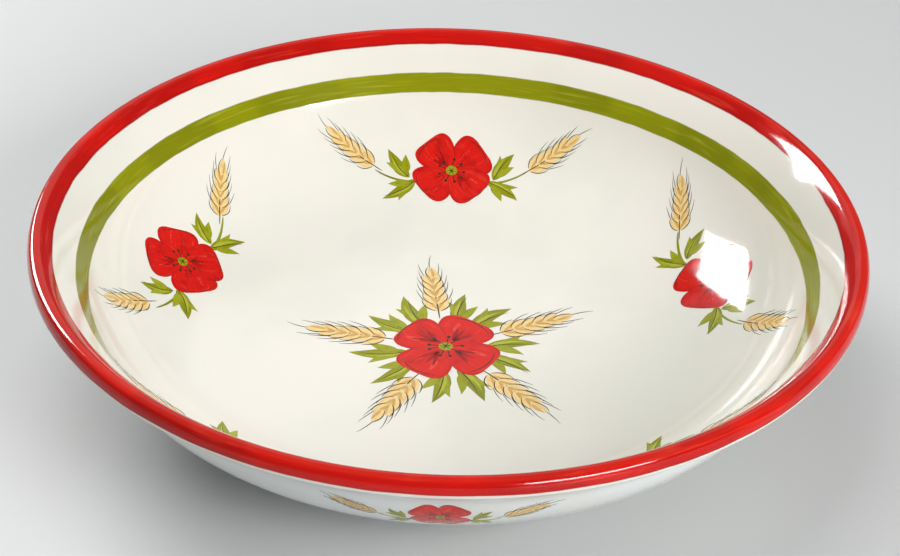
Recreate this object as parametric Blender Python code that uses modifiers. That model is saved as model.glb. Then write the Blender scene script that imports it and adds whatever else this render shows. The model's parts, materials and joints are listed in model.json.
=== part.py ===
"""Pasta serving bowl: a wide clay bowl on a foot ring, with fired coats of glaze and two painted bands.

The finished skin of the bowl is one curve in the XZ half plane. It runs from the middle of the floor up
the inside, over the lip and down the outside to the foot. Each coat is turned from a stretch of that
curve and the same stretch set back by the coat's thickness. The clay is turned from the whole curve,
set back by one coat and one clearance, so every coat lies on the clay at any size.
"""

import math

import bpy
import numpy as np

# Overall sizes over the finished glaze, in metres
RIM_DIAMETER = 0.340
HEIGHT = 0.0778

# Lip, from inside to outside: shoulder, level crest, edge, face that bends upright, rounded underside
LIP_SHOULDER_RADIUS = 0.0030
LIP_CREST_WIDTH = 0.0013
LIP_EDGE_RADIUS = 0.0020
LIP_FACE_RADIUS = 0.0070
LIP_FACE_LEAN = math.radians(30.0)
LIP_UPRIGHT_HEIGHT = 0.0008
LIP_UNDERSIDE_RADIUS = 0.0030

# Wall and floor
WALL_THICKNESS = 0.0054
FLOOR_THICKNESS = 0.0075
FLOOR_DIAMETER = 0.116
HEEL_DIAMETER = 0.2368
HEEL_THICKNESS = 0.0078

# The wall is steep at its waist and flares above it, up to the lip
WAIST_INSET = 0.0232
WAIST_DEPTH = 0.0237
WAIST_ANGLE = math.radians(66.7)
LIP_FLARE_ANGLE = math.radians(44.0)
LIP_UNDERCUT_ANGLE = math.radians(35.0)

# How far the curve keeps each direction on leaving the waist and the lip
WAIST_RUN_DOWN = 0.0191
WAIST_RUN_UP = 0.0089
LIP_RUN_INSIDE = 0.0048
LIP_RUN_OUTSIDE = 0.007

# Foot ring under the floor
FOOT_DIAMETER = 0.170
FOOT_WIDTH = 0.008
FOOT_HEIGHT = 0.0055
FOOT_ROUNDING = 0.0015
FOOT_CREASE_RISE = 0.0010
FOOT_ENTRY_ANGLE = math.radians(14.0)

# Painted bands: drops are measured down from the top of the lip, widths along the surface
RIM_BAND_DROP_INSIDE = 0.0048
RIM_BAND_DROP_OUTSIDE = 0.0055
BORDER_WIDTH = 0.0134
STRIPE_WIDTH = 0.0092

# Coat of glaze, and the clearance between pieces that touch
GLAZE_THICKNESS = 0.0006
CLEARANCE = 0.0003

# Fineness of the turned shapes
SEGMENTS = 64
CURVE_SAMPLES = 80
WELL_STEPS = 9
STRIPE_STEPS = 2
BORDER_STEPS = 3
RIM_STEPS = 12
OUTSIDE_STEPS = 11
OUTSIDE_CROWDING = 1.9
ROUNDING_STEPS = 3
MERGE_DISTANCE = 0.00001

# Radii and levels that follow from the sizes above
RIM_RADIUS = RIM_DIAMETER / 2
FLOOR_RADIUS = FLOOR_DIAMETER / 2
HEEL_RADIUS = HEEL_DIAMETER / 2
FOOT_RADIUS = FOOT_DIAMETER / 2
FLOOR_LEVEL = FOOT_HEIGHT + FLOOR_THICKNESS
RING_TOP = FOOT_HEIGHT + GLAZE_THICKNESS
CLAY_BOTTOM = RING_TOP + CLEARANCE
CLAY_SETBACK = GLAZE_THICKNESS + CLEARANCE

COLLECTION_NAME = "pasta_serving_bowl"

# Colour and roughness of each piece's surface
FINISHES = {
    "foot_ring": ((0.66, 0.56, 0.43), 0.75),
    "base_glaze": ((0.80, 0.80, 0.74), 0.15),
    "clay_body": ((0.66, 0.56, 0.43), 0.80),
    "well_glaze": ((0.87, 0.84, 0.73), 0.10),
    "green_stripe": ((0.28, 0.31, 0.03), 0.12),
    "border_glaze": ((0.87, 0.84, 0.73), 0.10),
    "rim_band": ((0.56, 0.02, 0.01), 0.12),
    "outside_glaze": ((0.80, 0.82, 0.80), 0.12),
}


def heading(angle):
    """Unit vector at an angle above the outward direction, in the half plane."""
    return np.array([math.cos(angle), math.sin(angle)])


def outward_side(direction):
    """Unit vector square to a direction that climbs the wall, on the wall's outer side."""
    return np.array([direction[1], -direction[0]])


def bezier(start, start_handle, end_handle, end):
    """Points along a cubic curve."""
    t = np.linspace(0.0, 1.0, CURVE_SAMPLES)[:, None]
    return (
        (1 - t) ** 3 * start
        + 3 * (1 - t) ** 2 * t * start_handle
        + 3 * (1 - t) * t**2 * end_handle
        + t**3 * end
    )


def arc(centre, radius, start_angle, end_angle, steps):
    """Points along a circular arc, both ends included."""
    angles = np.linspace(start_angle, end_angle, steps + 1)
    return centre + radius * np.column_stack((np.cos(angles), np.sin(angles)))


class Skin:
    """The bowl's finished skin, read by the distance along it from the middle of the floor."""

    def __init__(self):
        # The edge and the face share a tangent where the face leans most
        edge_to_face = (LIP_FACE_RADIUS - LIP_EDGE_RADIUS) * heading(LIP_FACE_LEAN)
        face_centre = np.array([RIM_RADIUS - LIP_FACE_RADIUS, HEIGHT - LIP_EDGE_RADIUS - edge_to_face[1]])
        edge_centre = face_centre + edge_to_face
        shoulder_centre = np.array([edge_centre[0] - LIP_CREST_WIDTH, HEIGHT - LIP_SHOULDER_RADIUS])
        underside_centre = np.array([RIM_RADIUS - LIP_UNDERSIDE_RADIUS, face_centre[1] - LIP_UPRIGHT_HEIGHT])
        waist = np.array([RIM_RADIUS - WAIST_INSET, HEIGHT - WAIST_DEPTH])
        climb = heading(WAIST_ANGLE)
        flare = heading(LIP_FLARE_ANGLE)
        undercut = heading(LIP_UNDERCUT_ANGLE)

        floor_edge = np.array([FLOOR_RADIUS, FLOOR_LEVEL])
        heel = np.array([HEEL_RADIUS, FLOOR_LEVEL])
        inner_wall = bezier(floor_edge, heel, waist - WAIST_RUN_DOWN * climb, waist)

        lip_start = math.pi / 2 + LIP_FLARE_ANGLE
        lip_end = LIP_UNDERCUT_ANGLE - math.pi / 2
        shoulder = arc(shoulder_centre, LIP_SHOULDER_RADIUS, lip_start, math.pi / 2, CURVE_SAMPLES)
        edge = arc(edge_centre, LIP_EDGE_RADIUS, math.pi / 2, LIP_FACE_LEAN, CURVE_SAMPLES)
        face = arc(face_centre, LIP_FACE_RADIUS, LIP_FACE_LEAN, 0.0, CURVE_SAMPLES)
        underside = arc(underside_centre, LIP_UNDERSIDE_RADIUS, 0.0, lip_end, CURVE_SAMPLES)
        inner_flare = bezier(
            waist,
            waist + WAIST_RUN_UP * climb,
            shoulder[0] - LIP_RUN_INSIDE * flare,
            shoulder[0],
        )

        outer_waist = waist + WALL_THICKNESS * outward_side(climb)
        outer_flare = bezier(
            underside[-1],
            underside[-1] - LIP_RUN_OUTSIDE * undercut,
            outer_waist + WAIST_RUN_UP * climb,
            outer_waist,
        )

        foot_entry = heading(FOOT_ENTRY_ANGLE)
        foot_crease = np.array([FOOT_RADIUS + CLEARANCE, FOOT_HEIGHT + FOOT_CREASE_RISE])
        heel_reach = (HEEL_RADIUS + HEEL_THICKNESS - foot_crease[0]) / foot_entry[0]
        outer_wall = bezier(
            outer_waist,
            outer_waist - WAIST_RUN_DOWN * climb,
            foot_crease + heel_reach * foot_entry,
            foot_crease,
        )

        floor_middle = np.array([[0.0, FLOOR_LEVEL]])
        inside = (floor_middle, inner_wall, inner_flare[1:])
        lip = (shoulder[1:], edge, face[1:], underside)
        outside = (outer_flare[1:], outer_wall[1:])
        self.points = np.vstack((*inside, *lip, *outside))
        steps = np.linalg.norm(np.diff(self.points, axis=0), axis=1)
        self.distance = np.concatenate(([0.0], np.cumsum(steps)))
        self.length = self.distance[-1]
        self.crest = int(np.argmax(self.points[:, 1]))

        along = np.gradient(self.points, self.distance, axis=0)
        along /= np.linalg.norm(along, axis=1)[:, None]
        self.into_clay = np.column_stack((along[:, 1], -along[:, 0]))

    def inside_at_drop(self, drop):
        """Distance along the skin where the inside lies a drop below the top of the lip."""
        heights = self.points[: self.crest + 1, 1]
        return np.interp(HEIGHT - drop, heights, self.distance[: self.crest + 1])

    def outside_at_drop(self, drop):
        """Distance along the skin where the outside lies a drop below the top of the lip."""
        heights = self.points[self.crest :, 1]
        return np.interp(drop - HEIGHT, -heights, self.distance[self.crest :])

    def set_back(self, stations, depth):
        """Points at the given distances along the skin, moved into the clay by a depth."""
        columns = []
        for axis in (0, 1):
            surface = np.interp(stations, self.distance, self.points[:, axis])
            inward = np.interp(stations, self.distance, self.into_clay[:, axis])
            columns.append(surface + depth * inward)
        return np.column_stack(columns)

    def coat(self, stations):
        """Closed outline of a coat of glaze over a stretch of the skin."""
        face = self.set_back(stations, 0.0)
        back = self.set_back(stations, GLAZE_THICKNESS)
        return np.vstack((face, back[::-1]))


def coat_stations(skin):
    """Distances along the skin at the rings of each coat, with a clearance between neighbours."""
    half_gap = CLEARANCE / 2
    rim_inside = skin.inside_at_drop(RIM_BAND_DROP_INSIDE)
    rim_outside = skin.outside_at_drop(RIM_BAND_DROP_OUTSIDE)
    stripe_top = rim_inside - BORDER_WIDTH
    stripe_bottom = stripe_top - STRIPE_WIDTH

    # The floor is flat, so the distance along it is the radius
    wall_rings = np.linspace(FLOOR_RADIUS, stripe_bottom - half_gap, WELL_STEPS + 1)
    closer_at_lip = np.linspace(0.0, 1.0, OUTSIDE_STEPS + 1) ** OUTSIDE_CROWDING
    outside_start = rim_outside + half_gap
    return {
        "well_glaze": np.concatenate(([0.0], wall_rings)),
        "green_stripe": np.linspace(stripe_bottom + half_gap, stripe_top - half_gap, STRIPE_STEPS + 1),
        "border_glaze": np.linspace(stripe_top + half_gap, rim_inside - half_gap, BORDER_STEPS + 1),
        "rim_band": np.linspace(rim_inside + half_gap, rim_outside - half_gap, RIM_STEPS + 1),
        "outside_glaze": outside_start + (skin.length - outside_start) * closer_at_lip,
    }


def clay_outline(skin, stations):
    """Outline of the clay: the skin set back by a coat and a clearance, closed flat underneath."""
    rings = np.concatenate(list(stations.values()))
    surface = skin.set_back(rings, CLAY_SETBACK)
    underside = np.array([[FOOT_RADIUS, CLAY_BOTTOM], [0.0, CLAY_BOTTOM]])
    return np.vstack((surface, underside))


def foot_outline():
    """Closed outline of the foot ring, flat on its standing edge."""
    inner_radius = FOOT_RADIUS - FOOT_WIDTH
    outer_corner = np.array([FOOT_RADIUS - FOOT_ROUNDING, FOOT_ROUNDING])
    inner_corner = np.array([inner_radius + FOOT_ROUNDING, FOOT_ROUNDING])
    return np.vstack((
        [[inner_radius, RING_TOP], [FOOT_RADIUS, RING_TOP]],
        arc(outer_corner, FOOT_ROUNDING, 0.0, -math.pi / 2, ROUNDING_STEPS),
        arc(inner_corner, FOOT_ROUNDING, -math.pi / 2, -math.pi, ROUNDING_STEPS),
    ))


def base_outline():
    """Outline of the glaze under the floor, inside the foot ring."""
    edge = FOOT_RADIUS - FOOT_WIDTH - CLEARANCE
    return np.array([[0.0, RING_TOP], [edge, RING_TOP], [edge, FOOT_HEIGHT], [0.0, FOOT_HEIGHT]])


def make_material(name, colour, roughness):
    """Plain fired surface with a colour and a roughness."""
    material = bpy.data.materials.new(name)
    material.use_nodes = True
    shader = material.node_tree.nodes["Principled BSDF"]
    shader.inputs["Base Color"].default_value = (*colour, 1.0)
    shader.inputs["Roughness"].default_value = roughness
    shader.inputs["Metallic"].default_value = 0.0
    return material


def turn(name, outline, material, parent, collection):
    """Turn an outline about the bowl's axis into a named piece with its origin at its own foot.

    An outline that starts and ends on the axis closes there, and any other closes on itself.
    """
    seat = float(outline[:, 1].min())
    vertices = [(float(r), 0.0, float(z) - seat) for r, z in outline]
    edges = [(i, i + 1) for i in range(len(vertices) - 1)]
    on_axis = outline[0][0] == 0.0
    if not on_axis:
        edges.append((len(vertices) - 1, 0))
    mesh = bpy.data.meshes.new(name)
    mesh.from_pydata(vertices, edges, [])
    mesh.materials.append(material)

    piece = bpy.data.objects.new(name, mesh)
    collection.objects.link(piece)
    piece.parent = parent
    piece.location.z = seat

    screw = piece.modifiers.new("turned", "SCREW")
    screw.axis = "Z"
    screw.angle = 2 * math.pi
    screw.steps = SEGMENTS
    screw.render_steps = SEGMENTS
    screw.use_merge_vertices = True
    screw.merge_threshold = MERGE_DISTANCE
    screw.use_smooth_shade = True
    return piece


def main():
    """Build the bowl from its foot up."""
    for old in list(bpy.data.objects):
        bpy.data.objects.remove(old, do_unlink=True)
    collection = bpy.data.collections.new(COLLECTION_NAME)
    bpy.context.scene.collection.children.link(collection)
    bowl = bpy.data.objects.new("bowl_axis", None)
    collection.objects.link(bowl)

    skin = Skin()
    stations = coat_stations(skin)
    outlines = {
        "foot_ring": foot_outline(),
        "base_glaze": base_outline(),
        "clay_body": clay_outline(skin, stations),
    }
    for coat, rings in stations.items():
        outlines[coat] = skin.coat(rings)

    for name, outline in outlines.items():
        colour, roughness = FINISHES[name]
        turn(name, outline, make_material(name, colour, roughness), bowl, collection)


main()
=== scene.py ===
"""Looks of a pasta serving bowl: turned coats of glaze, brushed bands, painted field flowers, and a studio.

The finished skin of the bowl is one curve in a half plane. It runs from the middle of the floor up the
inside, over the lip and down the outside to the foot. Every coat is turned from a stretch of that curve,
and every brush stroke is laid out flat and wrapped onto it. Lengths are in metres.
"""

import json
import logging
import math
import random
from dataclasses import dataclass, field
from enum import Enum

import bpy
import numpy as np
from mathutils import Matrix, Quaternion, Vector

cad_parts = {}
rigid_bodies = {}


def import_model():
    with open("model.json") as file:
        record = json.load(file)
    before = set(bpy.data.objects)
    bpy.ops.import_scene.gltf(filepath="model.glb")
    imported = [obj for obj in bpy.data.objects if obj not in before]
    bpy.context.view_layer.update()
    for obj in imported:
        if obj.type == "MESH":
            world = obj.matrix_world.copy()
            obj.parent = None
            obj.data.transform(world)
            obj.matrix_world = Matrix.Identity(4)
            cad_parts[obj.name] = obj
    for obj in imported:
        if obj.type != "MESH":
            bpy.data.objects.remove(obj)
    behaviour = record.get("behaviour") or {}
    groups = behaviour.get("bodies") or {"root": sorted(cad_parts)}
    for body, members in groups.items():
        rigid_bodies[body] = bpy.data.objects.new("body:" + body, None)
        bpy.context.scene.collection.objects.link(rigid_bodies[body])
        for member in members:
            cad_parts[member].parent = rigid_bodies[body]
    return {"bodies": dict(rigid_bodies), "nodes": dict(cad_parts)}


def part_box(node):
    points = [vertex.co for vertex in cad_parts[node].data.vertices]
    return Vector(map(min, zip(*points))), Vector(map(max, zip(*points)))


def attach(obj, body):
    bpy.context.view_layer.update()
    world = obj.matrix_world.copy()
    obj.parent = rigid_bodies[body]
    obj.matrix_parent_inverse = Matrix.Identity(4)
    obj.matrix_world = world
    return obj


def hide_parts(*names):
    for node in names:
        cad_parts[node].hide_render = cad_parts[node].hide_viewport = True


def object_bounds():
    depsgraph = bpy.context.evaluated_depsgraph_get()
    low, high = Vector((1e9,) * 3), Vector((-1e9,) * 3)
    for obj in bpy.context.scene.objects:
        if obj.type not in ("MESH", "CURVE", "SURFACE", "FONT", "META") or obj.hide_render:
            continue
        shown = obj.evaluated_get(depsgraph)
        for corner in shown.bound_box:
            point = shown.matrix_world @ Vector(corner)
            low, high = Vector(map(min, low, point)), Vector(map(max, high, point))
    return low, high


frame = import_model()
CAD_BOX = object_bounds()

LOG = logging.getLogger("pasta_serving_bowl")
BODY = "root"
MM = 0.001

Colour = tuple[float, float, float, float]


def fired(red: int, green: int, blue: int) -> Colour:
    """Turn a colour as a colour picker reads it into linear light.

    Args:
        red: Red, from 0 to 255.
        green: Green, from 0 to 255.
        blue: Blue, from 0 to 255.

    Returns:
        The colour in linear light, with full opacity.
    """
    linear = []
    for level in (red, green, blue):
        share = level / 255
        linear.append(share / 12.92 if share <= 0.04045 else ((share + 0.055) / 1.055) ** 2.4)
    return (*linear, 1.0)


class Wire:
    """A node's output socket that takes part in arithmetic and adds Math nodes as it does."""

    def __init__(self, graph: "Graph", socket: bpy.types.NodeSocket) -> None:
        """Keep the graph that the socket belongs to."""
        self.graph = graph
        self.socket = socket

    def __add__(self, other: "Wire | float") -> "Wire":
        """Sum of two values."""
        return self.graph.math("ADD", self, other)

    def __radd__(self, other: float) -> "Wire":
        """Sum with a plain number on the left."""
        return self.graph.math("ADD", other, self)

    def __sub__(self, other: "Wire | float") -> "Wire":
        """Difference of two values."""
        return self.graph.math("SUBTRACT", self, other)

    def __rsub__(self, other: float) -> "Wire":
        """Difference from a plain number."""
        return self.graph.math("SUBTRACT", other, self)

    def __mul__(self, other: "Wire | float") -> "Wire":
        """Product of two values."""
        return self.graph.math("MULTIPLY", self, other)

    def __rmul__(self, other: float) -> "Wire":
        """Product with a plain number on the left."""
        return self.graph.math("MULTIPLY", other, self)

    def __truediv__(self, other: "Wire | float") -> "Wire":
        """Quotient of two values."""
        return self.graph.math("DIVIDE", self, other)

    def __rtruediv__(self, other: float) -> "Wire":
        """Quotient of a plain number and this value."""
        return self.graph.math("DIVIDE", other, self)

    def __pow__(self, other: "Wire | float") -> "Wire":
        """This value raised to a power."""
        return self.graph.math("POWER", self, other)

    def __mod__(self, other: "Wire | float") -> "Wire":
        """Remainder of a division."""
        return self.graph.math("FLOORED_MODULO", self, other)

    def __abs__(self) -> "Wire":
        """Size of the value without its sign."""
        return self.graph.math("ABSOLUTE", self)

    def below(self, limit: "Wire | float") -> "Wire":
        """One where the value lies below a limit, and zero elsewhere."""
        return self.graph.math("LESS_THAN", self, limit)

    def ease(self, low: float, high: float) -> "Wire":
        """Ramp smoothly from zero to one.

        Args:
            low: The value where the ramp starts.
            high: The value where the ramp ends.

        Returns:
            The ramp.
        """
        settings = {"interpolation_type": "SMOOTHSTEP"}
        sockets = {"Value": self, "From Min": low, "From Max": high}
        return self.graph.wire("ShaderNodeMapRange", settings, sockets)

    def axis(self, index: int) -> "Wire":
        """One coordinate of a vector: 0, 1 or 2 for X, Y or Z."""
        return self.graph.wire("ShaderNodeSeparateXYZ", {}, {0: self}, index)


class Mixed(Enum):
    """What a Mix node mixes: its data type, the indices of its two inputs, and that of its output."""

    VALUE = ("FLOAT", 2, 3, 0)
    COLOUR = ("RGBA", 6, 7, 2)


class Graph:
    """A node tree, of a material or of geometry, that is built from expressions."""

    def __init__(self, tree: bpy.types.NodeTree) -> None:
        """Keep the tree that nodes are added to."""
        self.tree = tree

    def node(self, kind: str, settings: dict | None = None, sockets: dict | None = None) -> bpy.types.Node:
        """Add one node.

        Args:
            kind: The node's type, by its identifier.
            settings: The node's own properties, set before its sockets.
            sockets: Values or wires for its inputs, by name or index.

        Returns:
            The new node.
        """
        made = self.tree.nodes.new(kind)
        for name, value in (settings or {}).items():
            setattr(made, name, value)
        for key, value in (sockets or {}).items():
            self.feed(made.inputs[key], value)
        return made

    def wire(self, kind: str, settings: dict, sockets: dict, output: int | str = 0) -> Wire:
        """Add one node and take one of its outputs.

        Args:
            kind: The node's type, by its identifier.
            settings: The node's own properties.
            sockets: Values or wires for its inputs, by name or index.
            output: The output's name or index.

        Returns:
            The output, ready for arithmetic.
        """
        return Wire(self, self.node(kind, settings, sockets).outputs[output])

    def feed(self, socket: bpy.types.NodeSocket, value: object) -> None:
        """Link a wire to an input, or set the input's own value.

        Args:
            socket: The input.
            value: A wire, or a plain value.
        """
        if isinstance(value, Wire):
            self.tree.links.new(value.socket, socket)
        else:
            socket.default_value = value

    def math(self, operation: str, *values: Wire | float) -> Wire:
        """Add one Math node on up to three values."""
        return self.wire("ShaderNodeMath", {"operation": operation}, dict(enumerate(values)))

    def combine(self, x: Wire | float, y: Wire | float, z: Wire | float) -> Wire:
        """Join three values into a vector."""
        return self.wire("ShaderNodeCombineXYZ", {}, {0: x, 1: y, 2: z})

    def mix(self, mixed: Mixed, share: Wire | float, first: object, second: object) -> Wire:
        """Add one Mix node.

        Args:
            mixed: What it mixes.
            share: How much of the second shows, from zero to one.
            first: A wire or a plain value.
            second: A wire or a plain value.

        Returns:
            The mixture.
        """
        kind, first_input, second_input, output = mixed.value
        sockets = {0: share, first_input: first, second_input: second}
        return self.wire("ShaderNodeMix", {"data_type": kind}, sockets, output)

    def colour(self, share: Wire | float, first: object, second: object) -> Wire:
        """Mix two colours by the share of the second."""
        return self.mix(Mixed.COLOUR, share, first, second)

    def between(self, share: Wire | float, first: Wire | float, second: Wire | float) -> Wire:
        """Mix two values by the share of the second."""
        return self.mix(Mixed.VALUE, share, first, second)

    def noise(self, place: Wire, scale: Wire | float, detail: float = 2.0, output: int = 0) -> Wire:
        """Smooth random values over space, around one half.

        Args:
            place: Where to read the noise.
            scale: How many patches there are to a unit of length.
            detail: How many finer layers are added.
            output: 0 for a value, 1 for a colour.

        Returns:
            The random value or colour.
        """
        sockets = {"Vector": place, "Scale": scale, "Detail": detail}
        return self.wire("ShaderNodeTexNoise", {"noise_dimensions": "3D"}, sockets, output)


@dataclass
class BowlSkin:
    """The bowl's finished skin, read by the distance along it from the middle of the floor.

    It is the solid part's skin, with the lip up to 0.35 mm fuller inside, as its reflections show it.
    """

    rim_radius: float = CAD_BOX[1].x
    height: float = CAD_BOX[1].z
    lip_shoulder_radius: float = 0.0040
    lip_crest_width: float = 0.0009
    lip_edge_radius: float = 0.0020
    lip_face_radius: float = 0.0070
    lip_face_lean: float = math.radians(30.0)
    lip_upright_height: float = 0.0008
    lip_underside_radius: float = 0.0030
    wall_thickness: float = 0.0054
    glaze_thickness: float = 0.0006
    floor_radius: float = 0.058
    heel_radius: float = 0.1184
    heel_thickness: float = 0.0078
    waist_inset: float = 0.0232
    waist_depth: float = 0.0237
    waist_angle: float = math.radians(66.7)
    lip_flare_angle: float = math.radians(28.0)
    lip_undercut_angle: float = math.radians(35.0)
    waist_run_down: float = 0.0191
    waist_run_up: float = 0.0080
    lip_run_inside: float = 0.0045
    lip_run_outside: float = 0.007
    foot_crease_rise: float = 0.0010
    foot_entry_angle: float = math.radians(14.0)
    rim_band_drop_inside: float = 0.0046
    rim_band_drop_outside: float = 0.0055
    border_width: float = 0.0135
    stripe_width: float = 0.0092
    clearance: float = 0.0003
    curve_samples: int = 160

    def __post_init__(self) -> None:
        """Trace the curve and find where the painted bands start and end on it."""
        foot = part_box("foot_ring")[1]
        self.foot_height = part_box("base_glaze")[0].z
        self.foot_radius = foot.x
        self.ring_top = foot.z
        self.floor_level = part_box("well_glaze")[0].z + self.glaze_thickness
        self.points = np.vstack((((0.0, self.floor_level),), *self._stretches()))
        steps = np.linalg.norm(np.diff(self.points, axis=0), axis=1)
        self.distance = np.concatenate(([0.0], np.cumsum(steps)))
        self.length = float(self.distance[-1])
        self.crest = int(np.argmax(self.points[:, 1]))
        along = np.gradient(self.points, self.distance, axis=0)
        along /= np.linalg.norm(along, axis=1)[:, None]
        self.into_clay = np.column_stack((along[:, 1], -along[:, 0]))

        self.rim_inside = self.inside_at(self.height - self.rim_band_drop_inside)
        self.rim_outside = self.outside_at(self.height - self.rim_band_drop_outside)
        self.stripe_top = self.rim_inside - self.border_width
        self.stripe_bottom = self.stripe_top - self.stripe_width

    @staticmethod
    def heading(angle: float) -> np.ndarray:
        """Unit vector at an angle above the outward direction."""
        return np.array([math.cos(angle), math.sin(angle)])

    def _bezier(
        self, start: np.ndarray, leave: np.ndarray, arrive: np.ndarray, end: np.ndarray
    ) -> np.ndarray:
        """Points along a cubic curve.

        Args:
            start: First point.
            leave: Handle that the curve leaves towards.
            arrive: Handle that the curve arrives from.
            end: Last point.

        Returns:
            The points, both ends included.
        """
        done = np.linspace(0.0, 1.0, self.curve_samples)[:, None]
        left = 1 - done
        return (
            left**3 * start
            + 3 * left**2 * done * leave
            + 3 * left * done**2 * arrive
            + done**3 * end
        )

    def _arc(self, centre: np.ndarray, radius: float, first: float, last: float) -> np.ndarray:
        """Points along a circular arc.

        Args:
            centre: Middle of the circle.
            radius: Radius of the circle.
            first: Angle of the first point.
            last: Angle of the last point.

        Returns:
            The points, both ends included.
        """
        turns = np.linspace(first, last, self.curve_samples)
        return centre + radius * np.column_stack((np.cos(turns), np.sin(turns)))

    def _lip(self) -> list[np.ndarray]:
        """Trace the lip, which has a level crest and an outer face that bends upright.

        Returns:
            The shoulder inside, the edge between crest and face, the face and the rounding underneath.
        """
        up = math.pi / 2
        lean = self.lip_face_lean
        edge_to_face = (self.lip_face_radius - self.lip_edge_radius) * self.heading(lean)
        face_level = self.height - self.lip_edge_radius - edge_to_face[1]
        face_centre = np.array([self.rim_radius - self.lip_face_radius, face_level])
        edge_centre = face_centre + edge_to_face
        shoulder_level = self.height - self.lip_shoulder_radius
        shoulder_centre = np.array([edge_centre[0] - self.lip_crest_width, shoulder_level])
        underside_level = face_level - self.lip_upright_height
        underside_centre = np.array([self.rim_radius - self.lip_underside_radius, underside_level])
        return [
            self._arc(shoulder_centre, self.lip_shoulder_radius, up + self.lip_flare_angle, up),
            self._arc(edge_centre, self.lip_edge_radius, up, lean),
            self._arc(face_centre, self.lip_face_radius, lean, 0.0)[1:],
            self._arc(underside_centre, self.lip_underside_radius, 0.0, self.lip_undercut_angle - up),
        ]

    def _stretches(self) -> list[np.ndarray]:
        """Trace the skin beyond the flat floor.

        Returns:
            The inner wall and flare, the roundings of the lip, and the outer flare and wall, as points.
        """
        lip = self._lip()
        lip_start = lip[0][0]
        lip_end = lip[-1][-1]
        waist = np.array([self.rim_radius - self.waist_inset, self.height - self.waist_depth])
        climb = self.heading(self.waist_angle)
        down = self.waist_run_down * climb
        up = self.waist_run_up * climb

        floor_edge = np.array([self.floor_radius, self.floor_level])
        heel = np.array([self.heel_radius, self.floor_level])
        inner_wall = self._bezier(floor_edge, heel, waist - down, waist)

        flare = self.lip_run_inside * self.heading(self.lip_flare_angle)
        inner_flare = self._bezier(waist, waist + up, lip_start - flare, lip_start)

        outer_waist = waist + self.wall_thickness * np.array([climb[1], -climb[0]])
        undercut = self.lip_run_outside * self.heading(self.lip_undercut_angle)
        outer_flare = self._bezier(lip_end, lip_end - undercut, outer_waist + up, outer_waist)

        entry = self.heading(self.foot_entry_angle)
        crease = np.array([self.foot_radius + self.clearance, self.foot_height + self.foot_crease_rise])
        reach = (self.heel_radius + self.heel_thickness - crease[0]) / entry[0]
        outer_wall = self._bezier(outer_waist, outer_waist - down, crease + reach * entry, crease)
        return [inner_wall, inner_flare[1:-1], *lip, outer_flare[1:], outer_wall[1:]]

    def inside_at(self, level: float) -> float:
        """Distance along the skin where the inside reaches a level."""
        heights = self.points[: self.crest + 1, 1]
        return float(np.interp(level, heights, self.distance[: self.crest + 1]))

    def outside_at(self, level: float) -> float:
        """Distance along the skin where the outside comes down to a level."""
        heights = self.points[self.crest :, 1]
        return float(np.interp(-level, -heights, self.distance[self.crest :]))

    def at(self, station: float) -> tuple[float, float]:
        """Radius and level of the skin at a distance along it."""
        radius = np.interp(station, self.distance, self.points[:, 0])
        return float(radius), float(np.interp(station, self.distance, self.points[:, 1]))

    def set_back(self, stations: np.ndarray, depth: float) -> np.ndarray:
        """Points at the given distances along the skin, moved into the clay.

        Args:
            stations: Distances along the skin.
            depth: How far the points lie under the skin.

        Returns:
            One row of radius and level for each station.
        """
        columns = []
        for axis in (0, 1):
            surface = np.interp(stations, self.distance, self.points[:, axis])
            inward = np.interp(stations, self.distance, self.into_clay[:, axis])
            columns.append(surface + depth * inward)
        return np.column_stack(columns)

    def coat(self, stations: np.ndarray) -> np.ndarray:
        """Closed outline of a coat of glaze over a stretch of the skin."""
        underneath = self.set_back(stations, self.glaze_thickness)
        return np.vstack((self.set_back(stations, 0.0), underneath[::-1]))


@dataclass(frozen=True)
class Unevenness:
    """How far a hand-turned rim leaves a true circle and a level plane. It only takes away."""

    sway: float = 0.0016
    dip: float = 0.0035
    waves: float = 1.1
    seed: float = 4.0

    def apply(self, graph: Graph, radius: Wire, angle: Wire, level: Wire) -> Wire:
        """Bend a turned point and give its place.

        Args:
            graph: The geometry tree.
            radius: The point's distance from the axis.
            angle: The point's angle about the axis.
            level: The point's level.

        Returns:
            The point's place as a vector.
        """
        cosine = graph.math("COSINE", angle)
        sine = graph.math("SINE", angle)
        sway = graph.noise(graph.combine(cosine, sine, self.seed), self.waves, detail=0.0)
        dip = graph.noise(graph.combine(cosine, sine, 2 * self.seed), self.waves, detail=0.0)
        drawn_in = radius * (1 - self.sway * sway)
        return graph.combine(drawn_in * cosine, drawn_in * sine, level * (1 - self.dip * dip))


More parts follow.
